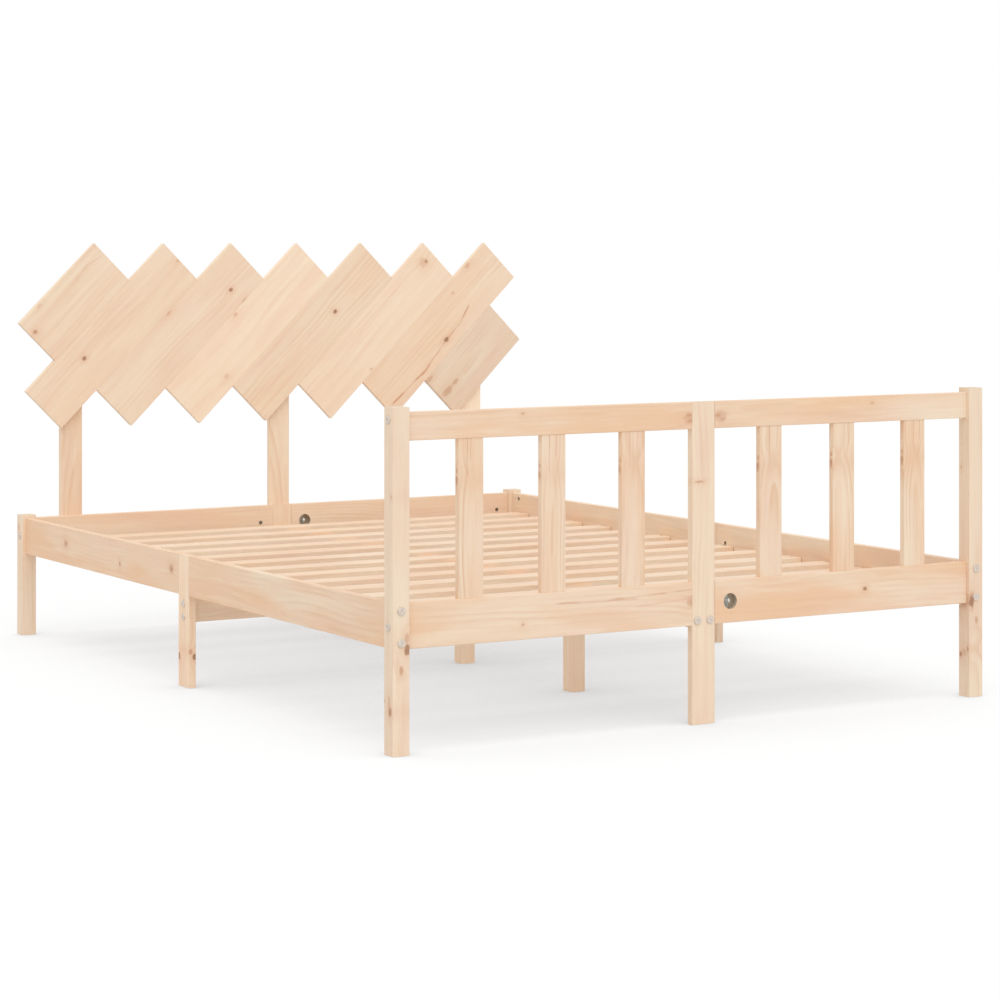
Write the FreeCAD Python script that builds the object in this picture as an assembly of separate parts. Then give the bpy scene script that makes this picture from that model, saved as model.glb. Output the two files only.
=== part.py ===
import FreeCAD, Part
import math
import os
from FreeCAD import Vector

# Pine bed frame with a slatted foot end and a headboard of slanted planks.
# X runs across the bed, Y from the foot to the head, Z up from the floor.
# The origin lies on the floor, in the middle of the frame's length and width.

# Clear space between the rails
inside_width = 1400.0
inside_length = 2000.0

# Corner posts
post_size = 37.0
foot_post_height = 676.0
head_post_height = 303.0

# Rails of the frame, and the wide flat legs between their halves
rail_thickness = 18.0
rail_height = 90.0
rail_bottom = 205.0
top_rail_height = 56.0
top_rail_drop = 10.0
mid_leg_width = 56.0

# Upright slats of the foot end
foot_slat_width = 56.0
foot_slat_thickness = 15.0
foot_slat_pitch = 189.0
foot_slats_per_half = 3

# Supports under the bed slats
slat_seat = 230.0
beam_width = 56.0
beam_thickness = 30.0
cross_rail_height = 56.0
centre_leg_size = 36.0
ledge_height = 25.0
ledge_thickness = 18.0
ledge_post_gap = 50.0
ledge_leg_gap = 5.0

# Bed slats that lie across the frame
bed_slat_width = 58.0
bed_slat_thickness = 15.0
bed_slat_end_gap = 1.0
bed_slats_per_half = 7

# Headboard of planks that lean to the right at 45 degrees
headboard_top = 990.0
plank_count = 8
plank_width = 135.0
plank_length = 532.0
short_plank_length = 287.5
plank_thickness = 15.0
lean_angle = 45.0
upright_width = 58.0
upright_thickness = 15.0
upright_spread = 585.0
upright_bottom = 181.0
upright_top_drop = 95.0
batten_width = 58.0

# Rounding of the boards' edges
edge_ease = 1.5

# Bolts with wide flat heads, and their barrel nuts in the wood
bolt_diameter = 6.0
bolt_head_diameter = 17.0
bolt_head_height = 2.2
bolt_head_bevel = 0.6
bolt_socket_across = 4.0
bolt_socket_depth = 3.0
bolt_past_nut = 8.0
barrel_nut_inset = 35.0
barrel_nut_diameter = 10.0
barrel_nut_length = 14.0
side_bolt_spacing = 62.0
top_bolt_drop = 14.0
cross_bolt_spacing = 29.0
beam_bolt_spacing = 31.0

# Joints that pull two rail halves against the leg between them
pocket_diameter = 33.0
pocket_inset = 38.5
pocket_floor = 3.0
washer_height = 13.0
washer_width = 10.0
hex_nut_across = 10.0
hex_nut_height = 5.0
rod_past_nut = 3.0

# Insert nuts, which hold the headboard's bolts and the centre legs' studs
insert_diameter = 9.0
insert_length = 13.0
stud_in_leg = 40.0
upright_bolt_spacing = 44.0

# Wooden dowels and countersunk wood screws
dowel_diameter = 8.0
dowel_length = 30.0
rail_dowel_spacing = 32.0
top_dowel_spacing = 40.0
screw_diameter = 4.0
screw_head_diameter = 8.0
screw_head_height = 3.0
screw_length = 28.0
plank_screw_spacing = 70.0
plank_screw_from_end = 10.0
batten_screw_spacing = 30.0

# Gap all round a fastener in its hole, and how far a cut runs past a face
hole_gap = 0.3
cut_over = 1.0

# Directions
right = Vector(1, 0, 0)
to_head = Vector(0, 1, 0)
to_foot = Vector(0, -1, 0)
up = Vector(0, 0, 1)
down = Vector(0, 0, -1)

# Places across the bed
post_inset = (post_size - rail_thickness) / 2
inside_x = inside_width / 2
side_rail_x = inside_x + rail_thickness / 2
post_inner_x = side_rail_x - post_size / 2
post_outer_x = side_rail_x + post_size / 2
mid_leg_half = mid_leg_width / 2

# Places along the bed
outer_length = inside_length + 2 * rail_thickness + 2 * post_inset
whole_length = outer_length - post_inset + upright_thickness
foot_front = -whole_length / 2
foot_rail_front = foot_front + post_inset
foot_rail_y = foot_rail_front + rail_thickness / 2
foot_inside = foot_rail_front + rail_thickness
foot_post_back = foot_front + post_size
head_back = foot_front + outer_length
head_rail_back = head_back - post_inset
head_rail_y = head_rail_back - rail_thickness / 2
head_inside = head_rail_back - rail_thickness
head_post_front = head_back - post_size
middle_y = (foot_inside + head_inside) / 2
cross_rail_back = middle_y + rail_thickness / 2

# Heights
rail_top = rail_bottom + rail_height
rail_z = rail_bottom + rail_height / 2
top_rail_top = foot_post_height - top_rail_drop
top_rail_bottom = top_rail_top - top_rail_height
top_rail_z = top_rail_bottom + top_rail_height / 2
beam_bottom = slat_seat - beam_thickness
beam_z = beam_bottom + beam_thickness / 2
cross_rail_bottom = beam_bottom - cross_rail_height
cross_rail_z = cross_rail_bottom + cross_rail_height / 2
ledge_bottom = slat_seat - ledge_height

# The planks' slant: how far one plank reaches along X and along Z
lean = math.radians(lean_angle)
plank_pitch = plank_width / math.sin(lean)
headboard_z = headboard_top - (plank_length * math.sin(lean) + plank_width * math.cos(lean)) / 2
along_plank = Vector(math.cos(lean), 0, math.sin(lean))
across_plank = Vector(math.sin(lean), 0, -math.cos(lean))
plank_back = head_rail_back
plank_front = plank_back - plank_thickness

# Shapes by node name, and the cuts that the fasteners need
boards = {}
fasteners = {}
wood_cuts = []
nut_cuts = []


def ease_edges(shape, direction=None):
    """Round the edges that run along a direction, or all of them."""
    chosen = []
    for edge in shape.Edges:
        run = edge.Vertexes[1].Point.sub(edge.Vertexes[0].Point)
        if direction is None or run.cross(direction).Length < edge_ease:
            chosen.append(edge)
    return shape.makeFillet(edge_ease, chosen)


def add_board(name, low, high, grain, all_edges=False):
    """A straight board between two opposite corners."""
    size = high.sub(low)
    box = Part.makeBox(size.x, size.y, size.z, low)
    boards[name] = ease_edges(box, None if all_edges else grain)


def add_fastener(group, shape):
    fasteners.setdefault(group, []).append(shape)


def cylinder(diameter, start, direction, length):
    return Part.makeCylinder(diameter / 2, length, start, direction)


def hexagon(across, start, direction, length):
    """A six-sided bar, measured across its flats."""
    corner = across / (2 * math.cos(math.pi / 6))
    turn = FreeCAD.Rotation(up, direction)
    points = []
    for step in range(7):
        angle = step * math.pi / 3
        point = Vector(corner * math.cos(angle), corner * math.sin(angle), 0)
        points.append(start.add(turn.multVec(point)))
    return Part.Face(Part.makePolygon(points)).extrude(direction * length)


def add_bolt(group, seat, into, length):
    """A bolt whose flat head lies on the wood at the seat point."""
    head = cylinder(bolt_head_diameter, seat, into * -1, bolt_head_height)
    outer = seat.sub(into * bolt_head_height)
    rim = [e for e in head.Edges if e.BoundBox.Center.distanceToPoint(outer) < bolt_head_bevel]
    head = head.makeChamfer(bolt_head_bevel, [e for e in rim if e.Closed])
    shank = cylinder(bolt_diameter, seat, into, length)
    socket = hexagon(bolt_socket_across, outer, into, bolt_socket_depth)
    add_fastener(group, head.fuse(shank).removeSplitter().cut(socket))
    hole = cylinder(bolt_diameter + 2 * hole_gap, seat.sub(into * cut_over), into,
                    length + hole_gap + cut_over)
    wood_cuts.append(hole)
    nut_cuts.append(hole)


def add_barrel_nut(centre, access, wood_depth):
    """A cross nut at a bolt's axis, set in from the face that access points to."""
    half = barrel_nut_length / 2
    add_fastener("barrel_nuts", cylinder(barrel_nut_diameter, centre.sub(access * half),
                                         access, barrel_nut_length))
    wood_cuts.append(cylinder(barrel_nut_diameter + 2 * hole_gap,
                              centre.sub(access * (half + hole_gap)), access,
                              half + hole_gap + wood_depth + cut_over))


def add_bolted_joint(group, seat, into, through, access, wood_depth):
    """A bolt through one board into a barrel nut near the end of the next."""
    add_bolt(group, seat, into, through + barrel_nut_inset + bolt_past_nut)
    nut = seat.add(into * (through + barrel_nut_inset))
    add_barrel_nut(nut, access, wood_depth)


def add_dowel(centre, direction):
    """A dowel that lies half in each of two boards."""
    start = centre.sub(direction * (dowel_length / 2))
    add_fastener("dowels", cylinder(dowel_diameter, start, direction, dowel_length))
    wood_cuts.append(cylinder(dowel_diameter + 2 * hole_gap, start.sub(direction * hole_gap),
                              direction, dowel_length + 2 * hole_gap))


def screw_shape(seat, into, gap):
    """A countersunk screw, or with a gap the hole that it sits in."""
    top = seat.sub(into * gap)
    head = Part.makeCone(screw_head_diameter / 2 + gap, screw_diameter / 2 + gap,
                         screw_head_height, top, into)
    shank = cylinder(screw_diameter + 2 * gap, top, into, screw_length + 2 * gap)
    return head.fuse(shank).removeSplitter()


def add_screw(seat, into):
    add_fastener("wood_screws", screw_shape(seat, into, 0))
    wood_cuts.append(screw_shape(seat, into, hole_gap))


def add_insert(mouth, into):
    """A threaded insert set flush into the wood."""
    add_fastener("insert_nuts", cylinder(insert_diameter, mouth, into, insert_length))
    wood_cuts.append(cylinder(insert_diameter + 2 * hole_gap, mouth.sub(into * cut_over),
                              into, insert_length + hole_gap + cut_over))


def add_pull_joint(centre, along, face, inside):
    """A threaded rod that draws two rail halves against the leg between them.

    One end sits in a barrel nut, set in from the inside of the frame. The other
    ends in a round pocket, open towards the face direction, where a half-moon
    washer and a nut hold it.
    """
    start = centre.sub(along * (mid_leg_half + barrel_nut_inset + bolt_past_nut))
    nut_seat = pocket_inset - pocket_diameter / 2 + washer_height
    end = mid_leg_half + nut_seat + hex_nut_height + rod_past_nut
    length = mid_leg_half + barrel_nut_inset + bolt_past_nut + end
    add_fastener("joint_rods", cylinder(bolt_diameter, start, along, length))
    hole = cylinder(bolt_diameter + 2 * hole_gap, start.sub(along * hole_gap), along,
                    length + hole_gap)
    wood_cuts.append(hole)
    nut_cuts.append(hole)
    add_barrel_nut(centre.sub(along * (mid_leg_half + barrel_nut_inset)), inside,
                   rail_thickness / 2)

    pocket = centre.add(along * (mid_leg_half + pocket_inset))
    depth = rail_thickness - pocket_floor
    floor = pocket.add(face * (rail_thickness / 2 - depth))
    wood_cuts.append(cylinder(pocket_diameter, floor, face, depth + cut_over))

    disc = cylinder(pocket_diameter - 2 * hole_gap, pocket.sub(face * (washer_width / 2)), face,
                    washer_width)
    flat = centre.add(along * (mid_leg_half + nut_seat))
    keep = hexagon(2 * pocket_diameter, flat, along * -1, pocket_diameter)
    add_fastener("half_moon_washers", disc.common(keep))
    add_fastener("hex_nuts", hexagon(hex_nut_across, flat, along, hex_nut_height))


def make_corner_posts():
    for side, sign in (("left", -1), ("right", 1)):
        low_x = min(sign * post_inner_x, sign * post_outer_x)
        high_x = low_x + post_size
        add_board("foot_post_" + side, Vector(low_x, foot_front, 0),
                  Vector(high_x, foot_post_back, foot_post_height), up, True)
        add_board("head_post_" + side, Vector(low_x, head_post_front, 0),
                  Vector(high_x, head_back, head_post_height), up, True)


def make_mid_legs():
    add_board("foot_mid_post", Vector(-mid_leg_half, foot_rail_front, 0),
              Vector(mid_leg_half, foot_inside, top_rail_top), up)
    add_board("head_mid_leg", Vector(-mid_leg_half, head_inside, 0),
              Vector(mid_leg_half, head_rail_back, rail_top), up)
    for side, low_x in (("left", -inside_x - rail_thickness), ("right", inside_x)):
        add_board("side_leg_" + side, Vector(low_x, middle_y - mid_leg_half, 0),
                  Vector(low_x + rail_thickness, middle_y + mid_leg_half, rail_top), up)


def make_end_rails():
    """The halves of the foot and head rails, each between a post and a mid leg."""
    for side, low_x in (("left", -post_inner_x), ("right", mid_leg_half)):
        high_x = low_x + post_inner_x - mid_leg_half
        add_board("foot_top_rail_" + side, Vector(low_x, foot_rail_front, top_rail_bottom),
                  Vector(high_x, foot_inside, top_rail_top), right)
        add_board("foot_bottom_rail_" + side, Vector(low_x, foot_rail_front, rail_bottom),
                  Vector(high_x, foot_inside, rail_top), right)
        add_board("head_rail_" + side, Vector(low_x, head_inside, rail_bottom),
                  Vector(high_x, head_rail_back, rail_top), right)


def make_side_rails():
    spans = (("front", foot_post_back, middle_y - mid_leg_half),
             ("rear", middle_y + mid_leg_half, head_post_front))
    for side, low_x in (("left", -inside_x - rail_thickness), ("right", inside_x)):
        for half, low_y, high_y in spans:
            add_board("side_rail_" + side + "_" + half, Vector(low_x, low_y, rail_bottom),
                      Vector(low_x + rail_thickness, high_y, rail_top), to_head)


def foot_slat_places():
    """Centres of the foot slats, evenly pitched about each half's middle."""
    half_middle = (mid_leg_half + post_inner_x) / 2
    places = []
    for sign in (-1, 1):
        for step in range(foot_slats_per_half):
            shift = (step - (foot_slats_per_half - 1) / 2) * foot_slat_pitch
            places.append(sign * half_middle + shift)
    return places


def make_foot_slats():
    for number, x in enumerate(foot_slat_places(), 1):
        add_board("foot_slat_" + str(number),
                  Vector(x - foot_slat_width / 2, foot_rail_y - foot_slat_thickness / 2, rail_top),
                  Vector(x + foot_slat_width / 2, foot_rail_y + foot_slat_thickness / 2,
                         top_rail_bottom), up)
        add_dowel(Vector(x, foot_rail_y, rail_top), up)
        add_dowel(Vector(x, foot_rail_y, top_rail_bottom), up)


def make_centre_supports():
    add_board("cross_rail", Vector(-inside_x, middle_y - rail_thickness / 2, cross_rail_bottom),
              Vector(inside_x, cross_rail_back, beam_bottom), right)
    for half, low_y, high_y in (("front", foot_inside, cross_rail_back),
                                ("rear", cross_rail_back, head_inside)):
        add_board("centre_beam_" + half, Vector(-beam_width / 2, low_y, beam_bottom),
                  Vector(beam_width / 2, high_y, slat_seat), to_head)
    places = (("front", (foot_inside + middle_y) / 2, beam_bottom),
              ("middle", middle_y, cross_rail_bottom),
              ("rear", (middle_y + head_inside) / 2, beam_bottom))
    reach = centre_leg_size / 2
    for name, y, leg_top in places:
        add_board("centre_leg_" + name, Vector(-reach, y - reach, 0),
                  Vector(reach, y + reach, leg_top), up)
        add_insert(Vector(0, y, leg_top), up)
        foot = Vector(0, y, leg_top - stud_in_leg)
        stud_length = stud_in_leg + insert_length
        add_fastener("leg_studs", cylinder(bolt_diameter, foot, up, stud_length))
        hole = cylinder(bolt_diameter + 2 * hole_gap, foot.sub(up * hole_gap), up,
                        stud_length + 2 * hole_gap)
        wood_cuts.append(hole)
        nut_cuts.append(hole)
    add_dowel(Vector(0, middle_y, beam_bottom), up)
    for sign in (-1, 1):
        x = sign * beam_bolt_spacing / 2
        add_dowel(Vector(x, cross_rail_back, beam_z), to_head)
        add_dowel(Vector(x, head_inside, beam_z), to_head)


def bed_slat_places(low_y):
    pitch = (middle_y - foot_inside) / bed_slats_per_half
    return [low_y + pitch * (step + 1 / 2) for step in range(bed_slats_per_half)]


def make_bed_slats():
    """Slats across the frame, screwed to the ledges along the side rails."""
    reach = inside_x - bed_slat_end_gap
    slat_top = slat_seat + bed_slat_thickness
    screw_x = inside_x - ledge_thickness / 2
    for half, low_y in (("front", foot_inside), ("rear", middle_y)):
        for number, y in enumerate(bed_slat_places(low_y), 1):
            add_board("bed_slats_" + half + " " + str(number),
                      Vector(-reach, y - bed_slat_width / 2, slat_seat),
                      Vector(reach, y + bed_slat_width / 2, slat_top), right)
            for x in (-screw_x, screw_x):
                add_screw(Vector(x, y, slat_top), down)


def make_ledges():
    """Strips that carry the bed slats' ends, screwed on between the slats."""
    half_leg_gap = mid_leg_half + ledge_leg_gap
    spans = (("front", foot_post_back + ledge_post_gap, middle_y - half_leg_gap, foot_inside),
             ("rear", middle_y + half_leg_gap, head_post_front - ledge_post_gap, middle_y))
    for side, sign in (("left", -1), ("right", 1)):
        low_x = min(sign * inside_x, sign * (inside_x - ledge_thickness))
        for half, low_y, high_y, first in spans:
            add_board("slat_ledge_" + side + "_" + half, Vector(low_x, low_y, ledge_bottom),
                      Vector(low_x + ledge_thickness, high_y, slat_seat), to_head)
            places = bed_slat_places(first)
            for near, far in zip(places, places[1:]):
                seat = Vector(sign * (inside_x - ledge_thickness), (near + far) / 2,
                              ledge_bottom + ledge_height / 2)
                add_screw(seat, right * sign)


def plank_span(number):
    """Where a plank starts and ends along its own length, from the headboard's middle."""
    shift = (number - (plank_count + 1) / 2) * plank_pitch * math.cos(lean)
    low = shift - plank_length / 2
    high = shift + plank_length / 2
    if number == 1:
        low = high - short_plank_length
    if number == plank_count:
        high = low + short_plank_length
    return low, high


def plank_edge(number):
    """Where a plank's upper long edge lies across the planks."""
    return (number - 1 - plank_count / 2) * plank_pitch * math.sin(lean)


def headboard_point(run, across, y):
    """A point given along and across the planks, from the headboard's middle."""
    middle = Vector(0, y, headboard_z)
    return middle.add(along_plank * run).add(across_plank * across)


def make_planks():
    turn = FreeCAD.Rotation(to_head, -lean_angle)
    for number in range(1, plank_count + 1):
        low, high = plank_span(number)
        edge = plank_edge(number)
        corner = headboard_point(low, edge + plank_width, plank_front)
        box = Part.makeBox(high - low, plank_thickness, plank_width)
        plank = ease_edges(box)
        plank.Placement = FreeCAD.Placement(corner, turn)
        boards["headboard_plank_" + str(number)] = plank
        if number > 1:
            before_low, before_high = plank_span(number - 1)
            start = max(low, before_low)
            shared = min(high, before_high) - start
            for share in (1 / 4, 3 / 4):
                seam = headboard_point(start + share * shared, edge,
                                       (plank_front + plank_back) / 2)
                add_dowel(seam, across_plank)


def plank_centre_height(number, x):
    """Height at which a plank's centre line passes a place across the bed."""
    centre_x = (number - (plank_count + 1) / 2) * plank_pitch
    return headboard_z + (x - centre_x) * math.tan(lean)


def fix_planks_to(x, low_z, high_z):
    """Two screws from behind wherever a plank crosses the upright at this place."""
    for number in range(1, plank_count + 1):
        z = plank_centre_height(number, x)
        run = Vector(x, 0, z - headboard_z).dot(along_plank)
        low, high = plank_span(number)
        if low < run < high and low_z < z < high_z:
            for sign in (-1, 1):
                screw_z = min(z + sign * plank_screw_spacing / 2,
                              high_z - plank_screw_from_end)
                add_screw(Vector(x, plank_back + upright_thickness, screw_z), to_foot)


def make_uprights():
    top = headboard_top - upright_top_drop
    places = (("left", -upright_spread), ("middle", 0), ("right", upright_spread))
    for name, x in places:
        add_board("headboard_upright_" + name,
                  Vector(x - upright_width / 2, plank_back, upright_bottom),
                  Vector(x + upright_width / 2, plank_back + upright_thickness, top), up)
        fix_planks_to(x, upright_bottom, top)
        for sign in (-1, 1):
            z = rail_z + sign * upright_bolt_spacing / 2
            seat = Vector(x, plank_back + upright_thickness, z)
            add_bolt("upright_bolts", seat, to_foot, upright_thickness + insert_length)
            add_insert(Vector(x, plank_back, z), to_foot)


def make_battens():
    """A batten between each pair of uprights holds the planks that meet no upright."""
    near = upright_width / 2
    far = upright_spread - upright_width / 2
    low_z = headboard_z - batten_width / 2
    first_after_middle = plank_count // 2 + 1
    for name, low_x, numbers in (("left", -far, range(2, first_after_middle)),
                                 ("right", near, range(first_after_middle, plank_count))):
        add_board("headboard_batten_" + name, Vector(low_x, plank_back, low_z),
                  Vector(low_x + far - near, plank_back + upright_thickness,
                         low_z + batten_width), right)
        for number in numbers:
            x = (number - (plank_count + 1) / 2) * plank_pitch
            for sign in (-1, 1):
                seat = Vector(x + sign * batten_screw_spacing / 2,
                              plank_back + upright_thickness, headboard_z)
                add_screw(seat, to_foot)


def join_corners():
    """Bolts through the corner posts, with dowels that keep the end rails level."""
    half_wood = rail_thickness / 2
    for sign in (-1, 1):
        outer = sign * post_outer_x
        inner = sign * post_inner_x
        inward = right * -sign
        for y, access in ((foot_rail_y, to_head), (head_rail_y, to_foot)):
            add_bolted_joint("corner_bolts", Vector(outer, y, rail_z), inward, post_size,
                             access, half_wood)
            for step in (-1, 1):
                add_dowel(Vector(inner, y, rail_z + step * rail_dowel_spacing / 2), right)
        add_bolted_joint("corner_bolts", Vector(outer, foot_rail_y, top_rail_top - top_bolt_drop),
                         inward, post_size, to_head, half_wood)
        add_dowel(Vector(inner, foot_rail_y, top_rail_bottom + top_bolt_drop), right)
        for seat_y, into in ((foot_front, to_head), (head_back, to_foot)):
            for step in (-1, 1):
                z = rail_z + step * side_bolt_spacing / 2
                add_bolted_joint("corner_bolts", Vector(sign * side_rail_x, seat_y, z), into,
                                 post_size, inward, half_wood)


def join_rail_halves():
    """Rods and dowels that join the rail halves through the legs between them."""
    add_pull_joint(Vector(0, foot_rail_y, rail_z), right, to_foot, to_head)
    add_pull_joint(Vector(0, foot_rail_y, top_rail_z), right, to_head, to_head)
    add_pull_joint(Vector(0, head_rail_y, rail_z), right, to_foot, to_foot)
    for sign in (-1, 1):
        inside = right * -sign
        add_pull_joint(Vector(sign * side_rail_x, middle_y, rail_z), to_head, inside, inside)
        edge_x = sign * mid_leg_half
        edge_y = middle_y + edge_x
        for step in (-1, 1):
            z = rail_z + step * rail_dowel_spacing / 2
            add_dowel(Vector(edge_x, foot_rail_y, z), right)
            add_dowel(Vector(edge_x, head_rail_y, z), right)
            add_dowel(Vector(-side_rail_x, edge_y, z), to_head)
            add_dowel(Vector(side_rail_x, edge_y, z), to_head)
            add_dowel(Vector(edge_x, foot_rail_y, top_rail_z + step * top_dowel_spacing / 2), right)


def join_mid_legs():
    """Bolts through the flat legs into the cross rail and the centre beam."""
    for sign in (-1, 1):
        outer = sign * (inside_x + rail_thickness)
        for step in (-1, 1):
            seat = Vector(outer, middle_y, cross_rail_z + step * cross_bolt_spacing / 2)
            add_bolted_joint("leg_bolts", seat, right * -sign, rail_thickness, to_head,
                             rail_thickness / 2)
        seat = Vector(sign * beam_bolt_spacing / 2, foot_rail_front, beam_z)
        add_bolted_joint("leg_bolts", seat, to_head, rail_thickness, down, beam_thickness / 2)


def cut_holes(shape, cuts):
    """Take every hole that reaches a shape out of it."""
    near = [cut for cut in cuts if cut.BoundBox.intersect(shape.BoundBox)]
    return shape.cut(near).removeSplitter() if near else shape


def export_nodes():
    nodes = {}
    for name, shape in boards.items():
        nodes.setdefault(name.split(" ")[0], []).append(cut_holes(shape, wood_cuts))
    for name, shapes in fasteners.items():
        threaded = name in ("barrel_nuts", "insert_nuts", "half_moon_washers", "hex_nuts")
        nodes[name] = [cut_holes(shape, nut_cuts) if threaded else shape for shape in shapes]
    os.makedirs("parts", exist_ok=True)
    for name, shapes in nodes.items():
        solids = [solid for shape in shapes for solid in shape.Solids]
        whole = solids[0] if len(solids) == 1 else Part.makeCompound(solids)
        whole.exportStep("parts/" + name + ".step")
        print(name, len(solids))


make_corner_posts()
make_mid_legs()
make_end_rails()
make_side_rails()
make_foot_slats()
make_centre_supports()
make_bed_slats()
make_ledges()
make_planks()
make_uprights()
make_battens()
join_corners()
join_rail_halves()
join_mid_legs()
export_nodes()
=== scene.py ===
import bmesh
import bpy
import math
import random
from mathutils import Matrix, Vector


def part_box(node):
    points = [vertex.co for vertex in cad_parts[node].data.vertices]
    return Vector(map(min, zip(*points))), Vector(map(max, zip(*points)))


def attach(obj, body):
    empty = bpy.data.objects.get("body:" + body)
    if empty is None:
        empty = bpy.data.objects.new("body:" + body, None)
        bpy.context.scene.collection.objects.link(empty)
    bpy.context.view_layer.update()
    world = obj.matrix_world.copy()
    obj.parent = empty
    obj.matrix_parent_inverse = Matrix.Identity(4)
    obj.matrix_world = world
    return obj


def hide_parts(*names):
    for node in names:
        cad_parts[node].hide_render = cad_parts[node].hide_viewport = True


# Pine bed frame with a slatted foot end and a headboard of slanted planks.
# Every length is in metres: X runs across the bed, Y from the foot end to the headboard, Z up.

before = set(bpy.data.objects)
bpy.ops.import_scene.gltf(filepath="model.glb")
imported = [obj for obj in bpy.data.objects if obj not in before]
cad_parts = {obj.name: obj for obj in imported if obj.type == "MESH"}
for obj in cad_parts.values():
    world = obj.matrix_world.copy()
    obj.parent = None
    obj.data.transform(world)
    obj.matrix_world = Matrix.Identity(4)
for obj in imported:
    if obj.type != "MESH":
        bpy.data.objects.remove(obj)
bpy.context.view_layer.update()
chance = random.Random(23)
quarterTurn = math.radians(90)
print("frame loaded:", len(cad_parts), "nodes")


# Camera, level, with the picture's frame shifted down and to the left

viewing = {
    "place": (-3.3392, -6.0336, 1.0061),
    "turn": -31.214,  # degrees about the upright axis
    "lens": 104.916,
    "shift": (-0.0787, -0.2631),
    "farthest": 100,
}
bpy.ops.object.camera_add(location=viewing["place"],
                          rotation=(quarterTurn, 0, math.radians(viewing["turn"])))
camera = bpy.context.object
camera.name = "viewCamera"
camera.data.lens = viewing["lens"]
camera.data.shift_x, camera.data.shift_y = viewing["shift"]
camera.data.clip_end = viewing["farthest"]
bpy.context.scene.camera = camera
print("camera placed")


# Hand tools

accuracy = {
    "weld": 0.000001,   # corners closer than this are one corner
    "level": 0.00001,   # a corner this close to a plane lies in it
    "touch": 0.00005,   # a drill that comes no deeper than this leaves a board alone
    "lean": 0.1,        # a face whose normal rises by less than this is upright
    "sharpFrom": 35,    # degrees between two faces, past which their edge stays sharp
}


def pickOnly(*pieces):
    bpy.ops.object.select_all(action="DESELECT")
    for piece in pieces:
        piece.select_set(True)
    bpy.context.view_layer.objects.active = pieces[0]


def addNew(operator, **settings):
    # a new object is the only one selected
    bpy.ops.object.select_all(action="DESELECT")
    operator(**settings)
    return bpy.context.object


def setPlace(piece):
    pickOnly(piece)
    bpy.ops.object.transform_apply(location=True, rotation=True, scale=True)


def useModifier(piece, kind, **settings):
    pickOnly(piece)
    modifier = piece.modifiers.new(kind.title(), kind)
    for name, value in settings.items():
        setattr(modifier, name, value)
    bpy.ops.object.modifier_apply(modifier=modifier.name)


def joinAll(pieces, name):
    pickOnly(*pieces)
    if len(pieces) > 1:
        bpy.ops.object.join()
    pieces[0].name = pieces[0].data.name = name
    return pieces[0]


def ownCopy(piece, place):
    copy = piece.copy()
    copy.data = piece.data.copy()
    bpy.context.collection.objects.link(copy)
    copy.matrix_world = place
    return copy


def selectWhere(piece, kind, wanted):
    # kind is EDGE or FACE; wanted is asked about each one in edit mode
    pickOnly(piece)
    bpy.ops.object.mode_set(mode="EDIT")
    bpy.ops.mesh.select_mode(type=kind)
    bpy.ops.mesh.select_all(action="DESELECT")
    mesh = bmesh.from_edit_mesh(piece.data)
    for part in getattr(mesh, kind.lower() + "s"):
        if wanted(part):
            part.select_set(True)
    bmesh.update_edit_mesh(piece.data)


def bevelWhere(piece, wanted, width, steps):
    selectWhere(piece, "EDGE", wanted)
    bpy.ops.mesh.bevel(offset=width, segments=steps, affect="EDGES", clamp_overlap=True)
    bpy.ops.object.mode_set(mode="OBJECT")


def finishShading(piece):
    pickOnly(piece)
    bpy.ops.object.shade_smooth_by_angle(angle=math.radians(accuracy["sharpFrom"]))
    useModifier(piece, "WEIGHTED_NORMAL", keep_sharp=True)


def turnShape(name, profile, corners):
    # profile holds (height, radius) from one end to the other; both ends are closed
    height, radius = profile[0]
    shape = addNew(bpy.ops.mesh.primitive_circle_add, vertices=corners, radius=radius,
                   fill_type="NGON", location=(0, 0, height))
    shape.name = name
    setPlace(shape)
    bpy.ops.object.mode_set(mode="EDIT")
    bpy.ops.mesh.select_mode(type="FACE")
    bpy.ops.mesh.select_all(action="SELECT")
    for nextHeight, nextRadius in profile[1:]:
        bpy.ops.mesh.extrude_region_move(
            TRANSFORM_OT_translate={"value": (0, 0, nextHeight - height)})
        scale = nextRadius / radius
        bpy.ops.transform.resize(value=(scale, scale, 1), center_override=(0, 0, nextHeight))
        height, radius = nextHeight, nextRadius
    bpy.ops.mesh.select_all(action="SELECT")
    bpy.ops.mesh.normals_make_consistent(inside=False)
    bpy.ops.object.mode_set(mode="OBJECT")
    return shape


def cutWith(piece, tool):
    # a tool with a material of its own leaves it on the walls that it cuts
    useModifier(piece, "BOOLEAN", operation="DIFFERENCE", object=tool, solver="EXACT",
                material_mode="TRANSFER" if tool.data.materials else "INDEX")
    bpy.data.objects.remove(tool)


def boxAround(points):
    return [Vector(pick(point[i] for point in points) for i in range(3)) for pick in (min, max)]


def pieceName(node):
    first, *rest = node.split("_")
    return first + "".join(word.title() for word in rest)


# Places of the fasteners, read from the frame's own nodes

headEndFrom = 0.5  # from here on along Y, a cross nut was put in from the other face


def looseParts(node):
    mesh = bmesh.new()
    mesh.from_mesh(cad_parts[node].data)
    bmesh.ops.remove_doubles(mesh, verts=mesh.verts, dist=accuracy["weld"])
    waiting = set(mesh.verts)
    parts = []
    while waiting:
        group, edge = [], [waiting.pop()]
        while edge:
            vert = edge.pop()
            group.append(vert.co.copy())
            for link in vert.link_edges:
                other = link.other_vert(vert)
                if other in waiting:
                    waiting.discard(other)
                    edge.append(other)
        parts.append(boxAround(group))
    mesh.free()
    return sorted(parts, key=lambda part: tuple(round(value, 4) for value in part[0]))


def sign(value):
    return -1 if value < 0 else 1


def isAlong(way, axis):
    # every fastener lies along X, Y or Z
    return abs(way[axis]) > 0.5


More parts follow.
